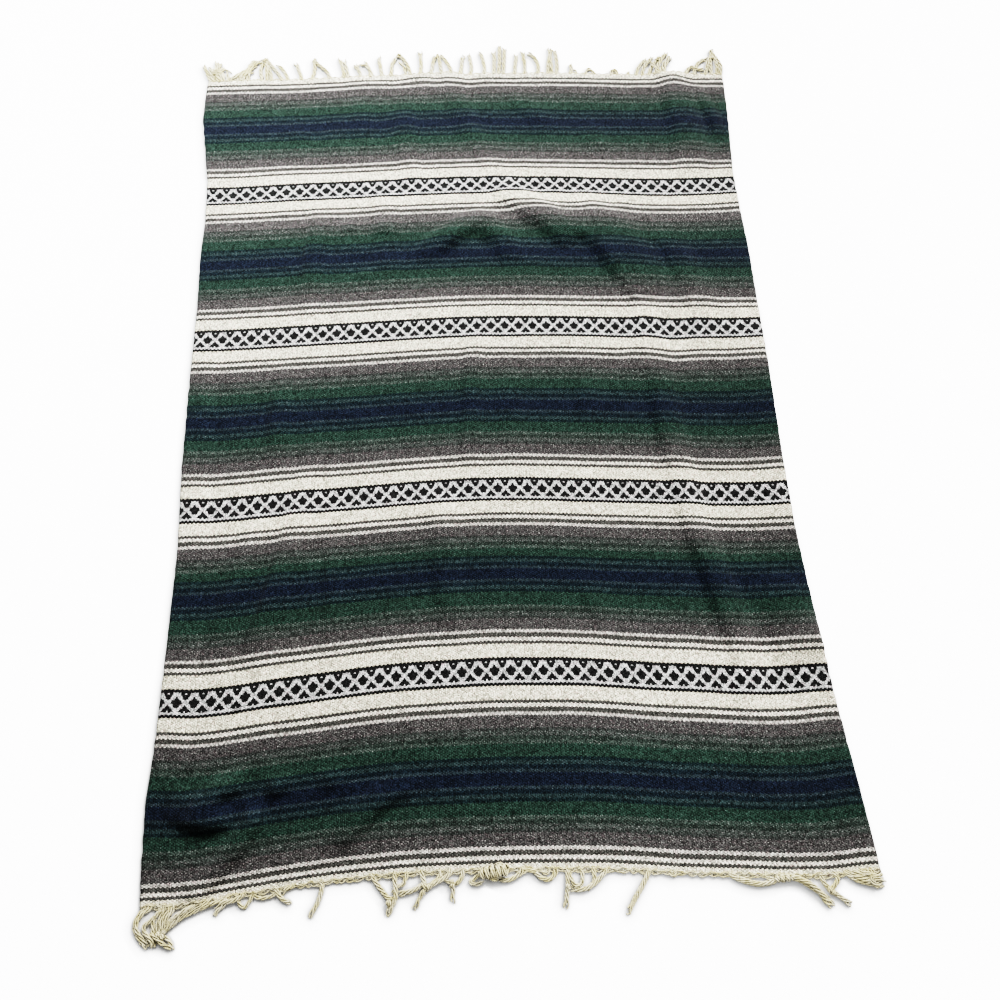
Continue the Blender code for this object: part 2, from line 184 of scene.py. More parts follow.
# one half of a diamond repeat, from the middle of a diamond to the middle of the gap beside it,
# in columns of 1 mm; the rows are picks of 2 mm from the far black line to the near one
diamondChart = (
    "################",
    "################",
    "################",
    ".......#########",
    ".......#######..",
    "........########",
    ".........#######",
    "##.........#####",
    "####........####",
    "######........##",
    "#########.......",
    "##########......",
    "############....",
    "#########.......",
    "#######........#",
    "######......####",
    "###........#####",
    ".........#######",
    ".......#########",
    "....############",
    "......#########.",
    "................",
    "................",
    "################",
    "################",
    "################",
)


def makeWovenCloth(look):
    material, tree, shader = startMaterial("wovenAcrylicAndCotton", look["surface"])
    cells = len(diamondChart[0])
    place = addNode(tree, "UVMap", {"uv_map": "clothMetres"})
    inMm = doVectors("MULTIPLY", place, (1000, 1000, 0))
    axes = addNode(tree, "SeparateXYZ", {}, {0: inMm})
    across = doMath("ADD", axes.outputs[0], look["motifStart"])
    across = doMath("MULTIPLY", across, 2 * cells / look["motifWide"])

    # picks wander a little along their length, every stripe edge has teeth and loose fibre blurs it
    wander = clothNoise(inMm, (75, 24))
    plainAlong = doMath("MULTIPLY_ADD", wander, look["wander"], axes.outputs[1])
    plainAlong = doMath("SUBTRACT", plainAlong, look["wander"] / 2)
    hair = clothNoise(inMm, (1.6, 1.1))
    along = doMath("MULTIPLY_ADD", hair, look["fuzz"], plainAlong)
    along = doMath("SUBTRACT", along, look["fuzz"] / 2)
    tooth = doMath("PINGPONG", across, look["warpColumns"])
    tooth = spread(tooth, 0.1 * look["warpColumns"], 0.9 * look["warpColumns"],
                   -look["toothHigh"] / 2, look["toothHigh"] / 2, interpolation_type="SMOOTHSTEP")
    along = doMath("ADD", along, tooth)

    # stripes: distance from the middle of the nearest dark band
    half = look["repeat"] / 2
    fromBand = doMath("SUBTRACT", along, look["firstBand"])
    late = doMath("COMPARE", fromBand, look["repeat"] + look["lateBy"] / 2, look["lateReach"])
    fromBand = doMath("MULTIPLY_ADD", late, -look["lateBy"], fromBand)
    fromBand = doMath("PINGPONG", fromBand, half)
    rampPlace = doMath("DIVIDE", fromBand, half)
    grounds = [(stripe.begins / half, colour(stripe.ground)) for stripe in stripes]
    flecks = [(stripe.begins / half, colour(stripe.fleck, stripe.level)) for stripe in stripes]
    ground = addNode(tree, "ValToRGB", {"stops": grounds}, {0: rampPlace})
    fleck = addNode(tree, "ValToRGB", {"stops": flecks}, {0: rampPlace})

    # charted band: the cells of a row are the bits of one number
    chartPlace = doMath("SUBTRACT", along, look["firstBand"] + half)
    chartPlace = doMath("WRAP", chartPlace, half, -half)
    rowPlace = spread(chartPlace, look["chartHigh"] / 2, -look["chartHigh"] / 2, clamp=False)
    allCells = 2.0 ** cells - 1
    codes = [sum(2 ** i for i, cell in enumerate(row) if cell == "#") for row in diamondChart]
    rows = [(i / len(codes), (code / allCells,) * 3 + (1.0,)) for i, code in enumerate(codes)]
    code = addNode(tree, "ValToRGB", {"stops": rows}, {0: rowPlace})
    code = doMath("MULTIPLY", code, allCells)
    code = doMath("ROUND", code)
    column = doMath("MULTIPLY_ADD", hair, look["chartFuzz"], across)
    column = doMath("SUBTRACT", column, look["chartFuzz"] / 2)
    column = doMath("PINGPONG", column, cells)
    column = doMath("FLOOR", column)
    column = doMath("MINIMUM", column, cells - 1)
    weight = doMath("POWER", 2, column)
    bit = doMath("DIVIDE", code, weight)
    bit = doMath("FLOOR", bit)
    bit = doMath("MODULO", bit, 2)
    inChart = doMath("ABSOLUTE", chartPlace)
    inChart = doMath("LESS_THAN", inChart, look["chartHigh"] / 2)
    charted = blend(bit, colour(look["chartPale"]), colour(look["chartBlack"]))
    ground = blend(inChart, ground, charted)

    # flecks: short fibres of another shade, longer along the weft than across it
    grain = clothNoise(inMm, (3.0, 1.7), roughness=0.6)
    above = doMath("SUBTRACT", grain, fleck.outputs[1])
    above = spread(above, -0.02, 0.06)
    offChart = doMath("SUBTRACT", 1, inChart)
    above = doMath("MULTIPLY", above, offChart)
    yarn = blend(above, ground, fleck)

    # beads of weft: one column for each warp, and each column half a bead off its neighbours
    fineWarp = doMath("MULTIPLY_ADD", across, 1 / look["warpColumns"], 0.5)
    warp = doMath("FLOOR", fineWarp)
    odd = doMath("MODULO", warp, 2)
    fineBead = doMath("DIVIDE", plainAlong, look["beadHigh"])
    fineBead = doMath("MULTIPLY_ADD", odd, 0.5, fineBead)
    bead = doMath("FLOOR", fineBead)
    rises = []
    for fine in (fineWarp, fineBead):
        edge = doMath("FRACT", fine)
        edge = doMath("PINGPONG", edge, 0.5)
        rises.append(spread(edge, 0, look["edgeShare"], interpolation_type="SMOOTHSTEP"))
    swell = doMath("MULTIPLY", *rises)
    # painted shade in the hollows between beads and painted light on their crests, following the bump's
    # swell
    paintedBeadShade = spread(swell, low=look["paintedHollowShade"], high=look["paintedCrestLight"])

    # no two beads show the same mix of fibres, and a pick keeps its depth of dye for a hand's width
    beadPlace = addNode(tree, "CombineXYZ", {}, {0: warp, 1: bead})
    mix = addNode(tree, "TexWhiteNoise", {"noise_dimensions": "2D"}, {"Vector": beadPlace})
    tuftPlace = addNode(tree, "CombineXYZ", {}, {0: fineWarp, 1: fineBead})
    tuftPlace = doVectors("MULTIPLY", tuftPlace, (2, 2, 0))
    tuftPlace = doVectors("FLOOR", tuftPlace)
    tuft = addNode(tree, "TexWhiteNoise", {"noise_dimensions": "2D"}, {"Vector": tuftPlace})
    mixTone = spread(mix, low=1 - look["beadTone"], high=1 + look["beadTone"])
    tuftTone = spread(tuft, low=1 - look["tuftTone"], high=1 + look["tuftTone"])
    mixTone = doMath("MULTIPLY", mixTone, tuftTone)
    streak = clothNoise(inMm, (60, 2.3))
    streakTone = spread(streak, 0.3, 0.7, 1 - look["streakTone"], 1 + look["streakTone"])
    shade = clothNoise(inMm, (5.5, 3.2), 4.0, 0.75, (40, 70))
    shadeTone = spread(shade, 0.3, 0.7, 1 - look["fibreTone"], 1 + look["fibreTone"], clamp=False)
    paler = doMath("COMPARE", along, look["palerStripe"], look["palerReach"])
    paler = doMath("MULTIPLY_ADD", paler, look["palerTone"] - 1, 1)
    tone = doMath("MULTIPLY", streakTone, shadeTone)
    for other in (mixTone, paintedBeadShade, paler):
        tone = doMath("MULTIPLY", tone, other)
    yarn = addNode(tree, "VectorMath", {"operation": "SCALE"}, {0: yarn, 3: tone})

    tint = clothNoise(inMm, (9, 4), 3.0, 0.7, (15, 30))
    tint = spread(tint, 0.5, 0.7)
    tint = blend(tint, look["plainTint"], look["plumTint"])
    yarn = doVectors("MULTIPLY", yarn, tint)
    tree.links.new(yarn.outputs[0], shader.inputs["Base Color"])

    relief = doMath("MULTIPLY_ADD", grain, 0.5, swell)
    bump = addNode(tree, "Bump", {"Strength": 0.55, "Distance": 0.0011}, {"Height": relief})
    tree.links.new(bump.outputs[0], shader.inputs["Normal"])
    return material


# Shape of the cloth, in metres where nothing else is said.
cloth = {
    "length": 1.814,
    "thickness": 0.003,
    "nearHem": -0.891,      # y of the middle of the near hem
    "nearLip": 0.0055,      # how far the last picks stand out beyond the near hem line
    "columns": 188,
    "rows": 254,
    "patternWidth": 1.28,   # woven pattern from selvedge to selvedge
    "crowding": 0.0042,     # how far warps are pushed sideways where the cloth is tightest
    "crowdingWaves": 0.72,  # waves of that push over the width
    "closing": 0.045,       # how much closer the sheet's columns are near the selvedges
    "meeting": 0.35,        # share of a lower ridge that is added where it meets a taller one
    "cockle": 0.0010,       # height of the small unevenness all over
    "cockleWide": (45, 40),  # mm across and along of its broad waves
    "cockleFine": (34, 17),  # and of its fine ones, which grow towards the far hem
    "selvedgeWave": 0.0016,
    "selvedgeWaveLong": 0.016,
    "selvedgeReach": 0.012,  # how far in from the selvedge its waves are felt
}

# One row for each weft line that is stated, in mm: its distance from the near hem, where the
# selvedges lie, and how far the line bows from straight at the edges and quarters.
Station = namedtuple("Station", "along left right bowLeft bowQuarter bowMiddle bowThreeQuarter bowRight")
stationRows = (
    Station(0, -641, 684, -45, -10, 0, -18, -27),
    Station(36, -644, 681, -46, -11, 1, -17, -27),
    Station(165, -649, 667, -40, -10, 5, -15, -25),
    Station(258, -642, 656, -36, -10, 8, -13, -23),
    Station(416, -635, 636, -31, -5, 13, -7, -20),
    Station(638, -631, 619, -30, -11, 3, -13, -26),
    Station(796, -638, 614, -24, -12, 1, -12, -26),
    Station(1018, -640, 614, -16, -7, 3, -10, -20),
    Station(1176, -641, 615, -15, -5, 3, -9, -21),
    Station(1300, -645, 613, -12, -3, 4, -4, -13),
    Station(1398, -642, 607, -9, -2, 4, 0, -8),
    Station(1512, -645, 603, -9, -7, -1, -12, -17),
    Station(1556, -652, 605, -9, -9, -3, -15, -20),
    Station(1697, -671, 611, -12, -10, -5, -18, -26),
    Station(1778, -670, 612, -13, -10, -6, -20, -29),
    Station(1814, -667, 612, -11, -10, -6, -21, -29),
)
stations = [Station(*[mm / 1000 for mm in row]) for row in stationRows]

# Ridges, in mm on the flat cloth. One row for each: the line along the middle of its steep side, as
# (across, along, height there), then how wide the steep side is and the gentle one beyond the
# crest. The steep side is on the left of someone walking along the line.
Ridge = namedtuple("Ridge", "line steep gentle")
ridges = (
    # the long ridge down the right side
    Ridge(((1086, 90, 0), (1088, 150, 3), (1090, 230, 5), (1098, 320, 7), (1100, 400, 11),
          (1086, 470, 13), (1068, 560, 13), (1048, 650, 11), (1036, 760, 11), (1022, 850, 12),
          (1013, 950, 10), (1002, 1050, 5), (996, 1130, 5), (990, 1190, 0)), 26, 58),
    Ridge(((1205, 330, 0), (1200, 400, 19), (1185, 490, 15), (1160, 590, 0)), 90, 60),
    # its two arcs, which turn in at the far end
    Ridge(((998, 1140, 0), (986, 1175, 8), (963, 1215, 12), (946, 1242, 15), (912, 1305, 14),
          (880, 1332, 11), (846, 1350, 8), (815, 1368, 0)), 34, 125),
    Ridge(((850, 1285, 0), (834, 1312, 12), (798, 1348, 16), (762, 1374, 15), (735, 1402, 11),
          (700, 1432, 9), (670, 1470, 0)), 32, 66),
    # the short arc in the middle of the second dark band
    Ridge(((712, 1235, 0), (696, 1275, 9), (682, 1310, 11), (652, 1342, 13), (620, 1330, 15),
          (592, 1306, 16), (568, 1290, 12), (545, 1274, 6), (522, 1250, 0)), 28, 50),
    Ridge(((470, 1350, 0), (445, 1342, 9), (415, 1336, 9), (390, 1346, 0)), 18, 34),
    Ridge(((370, 1358, 0), (350, 1350, 8), (328, 1348, 0)), 18, 30),
    Ridge(((408, 1245, 0), (398, 1228, 7), (385, 1212, 0)), 18, 30),
    # lengthwise ripples of the far half
    Ridge(((232, 1130, 0), (238, 1250, 8), (246, 1340, 8), (256, 1450, 0)), 17, 55),
    Ridge(((415, 1160, 0), (412, 1260, 4), (404, 1400, 4), (398, 1480, 0)), 40, 45),
    Ridge(((735, 1160, 0), (735, 1250, 4), (730, 1330, 0)), 50, 50),
    Ridge(((1128, 1100, 0), (1112, 1180, 7), (1085, 1270, 7), (1050, 1360, 0)), 30, 60),
    Ridge(((1134, 1490, 0), (1148, 1580, 9), (1140, 1660, 11), (1126, 1740, 10), (1112, 1850, 8)), 40, 70),
    Ridge(((1240, 1610, 0), (1230, 1670, 8), (1202, 1745, 6), (1184, 1790, 0)), 22, 28),
    Ridge(((472, 1440, 0), (470, 1560, 5), (468, 1670, 5), (466, 1780, 0)), 36, 40),
    Ridge(((694, 1470, 0), (655, 1560, 4), (618, 1640, 5), (590, 1740, 4), (574, 1850, 4)), 30, 50),
    Ridge(((364, 1580, 0), (362, 1680, 5), (362, 1790, 0)), 34, 45),
    Ridge(((845, 1600, 0), (800, 1662, 4), (752, 1712, 4), (715, 1750, 0)), 26, 45),
    Ridge(((968, 1560, 0), (938, 1600, 4), (900, 1645, 0)), 26, 40),
    Ridge(((232, 1590, 0), (212, 1625, 4), (200, 1680, 0)), 24, 40),
    # lengthwise ripples of the middle
    Ridge(((588, 740, 0), (598, 830, 8), (602, 930, 9), (608, 1010, 8), (616, 1090, 0)), 18, 40),
    Ridge(((688, 740, 0), (680, 900, 5), (672, 1060, 0)), 34, 44),
    Ridge(((176, 780, 0), (178, 860, 8), (181, 940, 8), (188, 1040, 0)), 18, 46),
    Ridge(((862, 840, 0), (852, 930, 4), (842, 1030, 0)), 30, 45),
    # lengthwise ripples of the near half
    Ridge(((140, 385, 0), (154, 440, 8), (180, 520, 13), (208, 640, 10), (234, 740, 5), (262, 830, 5),
          (278, 900, 0)), 18, 54),
    Ridge(((62, 410, 0), (94, 520, 6), (124, 640, 6), (146, 700, 0)), 19, 44),
    Ridge(((302, 380, 0), (303, 500, 6), (306, 640, 0)), 18, 45),
    Ridge(((540, 390, 0), (530, 470, 7), (522, 550, 8), (520, 640, 7), (516, 720, 0)), 28, 50),
    Ridge(((838, 400, 0), (826, 480, 5), (818, 560, 0)), 26, 40),
    # tucks and slanting ridges of the near left corner
    Ridge(((166, 124, 0), (146, 113, 12), (118, 112, 19), (86, 120, 20), (58, 130, 9),
          (30, 136, 0)), 20, 60),
    Ridge(((182, 174, 0), (158, 166, 14), (128, 156, 17), (98, 148, 9), (80, 146, 0)), 17, 40),
    Ridge(((272, 166, 0), (250, 158, 9), (232, 153, 11), (212, 150, 0)), 15, 34),
    Ridge(((222, 124, 0), (206, 108, 16), (182, 72, 17), (142, 34, 14), (112, 4, 10),
          (100, -20, 0)), 22, 34),
    Ridge(((496, 142, 0), (470, 128, 10), (424, 106, 14), (394, 84, 14), (374, 58, 11),
          (362, 30, 0)), 20, 44),
    Ridge(((362, 156, 0), (335, 151, 8), (306, 148, 0)), 15, 34),
    # selvedges that curl up a little
    Ridge(((1222, 280, 0), (1228, 440, 9), (1222, 760, 15), (1222, 1000, 14), (1228, 1170, 0)), 120, 90),
    Ridge(((-32, 240, 0), (-32, 420, 7), (-32, 950, 7), (-32, 1190, 0)), 65, 65),
)

# One row for each place where the picks were pushed along the warp, towards the far hem if the
# shift is positive: its middle on the flat cloth, its reach each way and the shift, all in mm.
Drift = namedtuple("Drift", "across along wide long shift")
drifts = (
    Drift(0, 170, 75, 400, 6.5),
    Drift(110, 400, 110, 420, -3.0),
    Drift(420, 260, 170, 430, 3.6),
    Drift(835, 180, 170, 500, 4.3),
    Drift(1140, 250, 150, 560, -5.2),
    Drift(1280, 100, 90, 330, 5.5),
    Drift(60, 850, 170, 260, -4.0),
    Drift(1130, 790, 200, 260, -3.6),
    Drift(860, 1000, 160, 180, 3.2),
    Drift(1075, 1040, 70, 160, -4.0),
    Drift(1120, 1415, 300, 190, -12.0),
    Drift(1230, 1570, 220, 110, -5.0),
    Drift(40, 1510, 200, 150, -5.0),
    Drift(330, 1660, 60, 70, 5.0),
    Drift(900, 1790, 170, 150, 3.5),
    Drift(640, 1780, 60, 110, -4.0),
    Drift(215, 1780, 110, 90, -2.5),
    Drift(390, 1770, 80, 80, 3.0),
    Drift(480, 1660, 60, 80, 5.0),
    Drift(660, 1660, 45, 60, 4.0),
    Drift(1000, 1412, 35, 50, 2.5),
    Drift(885, 1412, 48, 55, -6.5),
    Drift(528, 1795, 60, 40, 6.0),
    Drift(1155, 1792, 30, 40, 5.0),
    Drift(1250, 850, 90, 480, -2.5),
    Drift(990, 1025, 40, 45, 4.0),
)


def smoothBetween(before, first, second, after, share):
    slopeIn, slopeOut = (second - before) / 2, (after - first) / 2
    square, cube = share * share, share ** 3
    return ((2 * cube - 3 * square + 1) * first + (cube - 2 * square + share) * slopeIn
            + (3 * square - 2 * cube) * second + (cube - square) * slopeOut)


def readSmooth(values, spot):
    last = len(values) - 1
    index = min(int(spot), last - 1)
    return smoothBetween(values[max(index - 1, 0)], values[index], values[index + 1],
                         values[min(index + 2, last)], spot - index)


def stationAt(along):
    index = 0
    while index < len(stations) - 2 and along > stations[index + 1].along:
        index += 1
    low, high = stations[index], stations[index + 1]
    share = (along - low.along) / (high.along - low.along)
    eased = share * share * (3 - 2 * share)
    mixed = [a + (b - a) * (share if name in ("left", "right") else (share + eased) / 2)
             for name, a, b in zip(Station._fields, low, high)]
    return Station(along, *mixed[1:])


# smooth noise from -1 to 1
def waver(x, y, z):
    return noise.noise(Vector((x, y, z)))


def bell(share):
    return 0.5 * (1 + cos(pi * share)) if abs(share) < 1 else 0.0


# floor place of a point given as its share of the width and its distance from the near hem
def planPoint(across, along):
    line = stationAt(along)
    push = readSmooth(line[3:], across * 4)
    flatX, flatY = across * cloth["patternWidth"] * 1000, along * 1000
    for drift in drifts:
        push += (drift.shift / 1000 * bell((flatX - drift.across) / drift.wide)
                 * bell((flatY - drift.along) / drift.long))
    return line.left + (line.right - line.left) * across, cloth["nearHem"] + along + push


# height that one ridge gives a place on the flat cloth, all in mm
def ridgeHeight(ridge, across, along):
    reach = ridge.steep / 2 + ridge.gentle
    xs, ys, _ = [sorted(values) for values in zip(*ridge.line)]
    if not (xs[0] - reach < across < xs[-1] + reach and ys[0] - reach < along < ys[-1] + reach):
        return 0.0
    nearest, onLeft, high = None, False, 0.0
    for (startX, startY, startHigh), (endX, endY, endHigh) in zip(ridge.line, ridge.line[1:]):
        runX, runY, fromX, fromY = endX - startX, endY - startY, across - startX, along - startY
        share = min(max((fromX * runX + fromY * runY) / (runX * runX + runY * runY), 0.0), 1.0)
        awayX, awayY = fromX - share * runX, fromY - share * runY
        distance = hypot(awayX, awayY)
        if nearest is None or distance < nearest:
            nearest, onLeft = distance, runX * awayY > runY * awayX
            high = startHigh + (endHigh - startHigh) * share
    fromCrest = ridge.steep / 2 + (nearest if onLeft else -nearest)
    return high * (bell(fromCrest / ridge.steep) if fromCrest > 0 else bell((fromCrest / ridge.gentle) ** 2))


# ridges that meet run into each other, and the whole cloth is a little uneven
def liftAt(across, along):
    flatX, flatY = across * cloth["patternWidth"] * 1000, along * 1000
    heights = [ridgeHeight(ridge, flatX, flatY) for ridge in ridges]
    tallest = max(heights)
    lift = tallest + cloth["meeting"] * min(sum(heights) - tallest, tallest)
    wide = waver(flatX / cloth["cockleWide"][0], flatY / cloth["cockleWide"][1], 3.1)
    fine = waver(flatX / cloth["cockleFine"][0], flatY / cloth["cockleFine"][1], 8.7)
    fineShare = 0.3 + 0.9 * max(along / cloth["length"], 0) ** 3
    return lift / 1000 + cloth["cockle"] * (1.1 + 0.5 * wide + fineShare * fine)


def clothPoint(across, along):
    x, y = planPoint(across, along)
    edge = max(0.0, 1 - min(across, 1 - across) * cloth["patternWidth"] / cloth["selvedgeReach"])
    wave = waver(0.0 if across < 0.5 else 9.0, along / cloth["selvedgeWaveLong"], 0.0)
    x += edge * cloth["selvedgeWave"] * wave
    return x, y, liftAt(across, along) + cloth["thickness"]


def buildCloth(material):
    bm = bmesh.new()
    bmesh.ops.create_grid(bm, x_segments=cloth["columns"], y_segments=cloth["rows"], size=0.5)
    layer = bm.loops.layers.uv.new("clothMetres")
    plan = {}
    for vert in bm.verts:
        share = vert.co.x + 0.5
        across = share - cloth["closing"] * sin(2 * pi * share)
        along = (vert.co.y + 0.5) * (cloth["length"] + cloth["nearLip"]) - cloth["nearLip"]
        push = cloth["crowding"] * sin(2 * pi * cloth["crowdingWaves"] * across)
        plan[vert] = (across * cloth["patternWidth"] - push, along)
        vert.co = clothPoint(across, along)
    for face in bm.faces:
        face.smooth = True
        for corner in face.loops:
            corner[layer].uv = plan[corner.vert]
    mesh = bpy.data.meshes.new("serapeCloth")
    bm.to_mesh(mesh)
    bm.free()
    piece = finishPiece("serapeCloth", mesh, material, "woven_panel")
    wall = piece.modifiers.new("wall", "SOLIDIFY")
    wall.thickness = cloth["thickness"]
    wall.offset = -1
    return piece


# Fringe: the cotton warp ends, two to five together, loosely twisted, some tied in overhand knots.
# Cream with a yellow cast where it is dense, matt, and frayed at the tips.
fringe = {
    "pointEvery": 0.0030,   # metres along a yarn
    "twistEvery": 0.042,    # metres for one turn of a lock
    "plyRadius": 0.00165,
    "floorGap": 0.0004,
    "flatness": 0.6,        # height of a lock's section against its width
    "loose": 1.2,           # width of a lock against yarns that touch
    "slack": 0.30,          # how far that varies along it
    "flare": 1.6,           # how far a frayed tip spreads, in yarn radii
    "tipThinning": 0.3,
    "farSize": 1.3,         # thickness of the far yarns against the near ones
    "rootOut": -3,          # mm beyond the hem of a lock's root, which is inside the cloth
    "dropOver": 9,          # mm beyond the hem over which a lock comes down to the floor
    "sway": 0.0012,
    "frayShare": 0.20,      # share of a lock's length, at the tip, over which it opens
    "turnEvery": 5,         # mm along a knot for one turn of its coil
    "coilSteps": 12,        # points in one turn
    "coilYarns": 3,
    "coilFlatness": 0.8,
}

# The cords of warp ends that run in shallow scallops along each hem, the near hem's in two rows.
hemCord = {
    "nearSizes": (0.7, 0.55),   # size of each row's yarns against a lock's
    "farSizes": (0.66,),
    "yarns": 2,
    "steps": 540,
    "scallops": 64,
    "scallopHigh": 0.0036,
    "inset": 0.0022,        # how far in from the cloth's edge the scallops begin
    "rowEvery": 0.0052,
    "lift": 0.0021,         # height of the outer row over the cloth's underside
    "rowLift": 0.0016,      # and of the next row over it
}

# one row for each lock: x where it leaves the cloth, then points as (x, distance beyond the hem),
# all in mm, number of yarns in it, and how far its middle rises over what it crosses, in mm
Lock = namedtuple("Lock", "root points yarns rise", defaults=(0,))
nearLocks = (
    # corner tassel and the bundle that sweeps into it
    Lock(-624, ((-627, 3), (-637, 9), (-645, 20), (-648, 33), (-643, 44), (-634, 56), (-627, 69)), 3),
    Lock(-618, ((-622, 5), (-633, 11), (-641, 21), (-644, 34), (-637, 45), (-628, 56), (-622, 69)), 3, 2),
    Lock(-600, ((-602, 7), (-609, 15), (-619, 25), (-628, 31), (-629, 39), (-621, 53), (-617, 64)), 3, 3),
    Lock(-604, ((-605, 9), (-612, 19), (-614, 30), (-613, 40), (-611, 54), (-611, 66)), 3, 1),
    Lock(-597, ((-598, 10), (-604, 22), (-608, 35), (-605, 48), (-599, 62)), 3),
    Lock(-587, ((-589, 11), (-596, 19), (-600, 31), (-601, 44), (-606, 56), (-604, 65)), 3, 2),
    Lock(-580, ((-582, 10), (-590, 21), (-595, 34), (-599, 46), (-610, 55)), 3, 3),
    Lock(-482, ((-490, 4), (-514, 8), (-538, 11), (-558, 15), (-574, 25), (-585, 35), (-594, 44),
                (-605, 50), (-620, 57)), 3, 4),
    Lock(-496, ((-504, 6), (-524, 11), (-543, 16), (-562, 22), (-576, 30), (-590, 40), (-597, 48),
                (-606, 61)), 3, 3),
    Lock(-512, ((-524, 4), (-543, 8), (-563, 13), (-577, 21), (-587, 32), (-596, 42), (-603, 49)), 3, 5),
    Lock(-534, ((-541, 5), (-557, 10), (-569, 16), (-580, 22), (-588, 30), (-596, 39)), 3, 6),
    Lock(None, ((-601, 46), (-589, 53), (-580, 62), (-574, 76)), 3, 1),
    Lock(None, ((-605, 51), (-593, 62), (-582, 68), (-576, 74)), 3, 2),
    Lock(None, ((-630, 40), (-621, 48), (-613, 58), (-615, 68)), 3, 4),
    Lock(None, ((-618, 44), (-608, 50), (-598, 57), (-592, 66)), 3, 5),
    Lock(-484, ((-487, 6), (-493, 15), (-504, 22), (-509, 28)), 3, 1),
    Lock(-455, ((-461, 4), (-475, 9), (-494, 9), (-510, 11)), 4, 2),
    Lock(-470, ((-467, 12), (-456, 24), (-447, 15), (-440, 5), (-434, 11), (-420, 14), (-402, 11),
                (-393, 2), (-389, -3)), 3),
    Lock(-402, ((-400, 3), (-389, 20), (-371, 30)), 4, 1),
    Lock(-369, ((-372, 2), (-383, 5), (-391, 15)), 3, 2),
    Lock(-327, ((-319, 4), (-320, 18), (-326, 35), (-340, 56)), 4),
    # the knot left of the middle and what feeds it
    Lock(-231, ((-226, 8), (-214, 24), (-202, 38), (-190, 45), (-196, 57), (-206, 68)), 4),
    Lock(-189, ((-189, 5), (-187, 23), (-188, 40), (-194, 54), (-204, 66)), 4, 2),
    Lock(-167, ((-169, 8), (-173, 18), (-182, 22), (-188, 30)), 3, 2),
    Lock(-142, ((-140, 7), (-136, 18), (-143, 24), (-158, 30), (-171, 33), (-183, 34)), 4, 2),
    Lock(-105, ((-109, 10), (-122, 20), (-133, 26), (-141, 36), (-147, 48), (-155, 62)), 3, 3),
    Lock(-87, ((-93, 8), (-112, 18), (-126, 25), (-139, 37)), 4, 3),
    Lock(-109, ((-104, 12), (-96, 17), (-86, 23), (-85, 36), (-86, 55)), 3, 1),
    Lock(-65, ((-66, 4), (-69, 14), (-77, 22), (-86, 26)), 4, 1),
    # the lump in the middle and its loops
    Lock(-39, ((-37, 8), (-47, 16), (-54, 19), (-50, 24), (-35, 24), (-21, 20)), 3, 2),
    Lock(-27, ((-22, 7), (3, 19), (20, 18), (35, 10), (42, 3), (41, -3)), 4, 3),
    Lock(-31, ((-25, 6), (-5, 12), (7, 4), (15, -3)), 4, 5),
    Lock(41, ((44, 3), (61, 6), (72, 16), (85, 20), (96, 14), (100, 2), (99, -3)), 4, 1),
    Lock(51, ((57, 2), (71, 4), (83, 10), (91, 4), (93, -3)), 3),
    Lock(121, ((121, 13), (120, 31), (118, 48), (115, 68)), 4, 1),
    Lock(196, ((193, 2), (183, 13), (170, 25), (154, 34), (141, 36), (121, 34)), 4, 2),
    Lock(141, ((148, 8), (146, 25), (135, 29), (126, 16), (123, 2)), 3, 2),
    Lock(167, ((169, 13), (167, 25), (155, 34)), 4, 1),
    Lock(267, ((266, 5), (257, 22), (240, 48), (222, 74)), 5),
    Lock(308, ((306, 3), (311, 8), (318, 3), (319, -3)), 3),
    # the long pair and the crossed ends towards the right corner
    Lock(410, ((416, 5), (434, 13), (462, 18), (486, 14), (502, 7), (530, 5), (556, 17), (576, 37),
               (590, 54)), 4, 1),
    Lock(414, ((421, 5), (439, 12), (464, 16), (488, 12), (506, 5), (534, 9), (560, 24), (579, 42),
               (588, 57)), 4, 3),
    Lock(500, ((506, 2), (528, 4), (552, 14), (570, 30), (584, 48)), 4, 5),
    Lock(480, ((476, 4), (486, 8), (500, 8), (512, 4)), 3, 3),
    Lock(575, ((577, 9), (584, 21), (596, 32), (611, 43), (622, 53)), 4),
    Lock(599, ((604, 7), (601, 15), (591, 24), (588, 31)), 4, 3),
    Lock(618, ((625, 5), (639, 15), (657, 22), (676, 26), (688, 24)), 4, 1),
    Lock(624, ((632, 5), (646, 13), (664, 19), (682, 21)), 4, 3),
    Lock(634, ((642, 4), (654, 10), (668, 15), (686, 17)), 4, 2),
    Lock(646, ((652, 3), (664, 8), (676, 12), (687, 12)), 4, 4),
    Lock(656, ((660, 5), (668, 13), (680, 18), (688, 26)), 4, 3),
    Lock(667, ((668, 7), (663, 15), (667, 23), (676, 30)), 4, 4),
    Lock(672, ((675, 4), (682, 8), (688, 8)), 3),
)
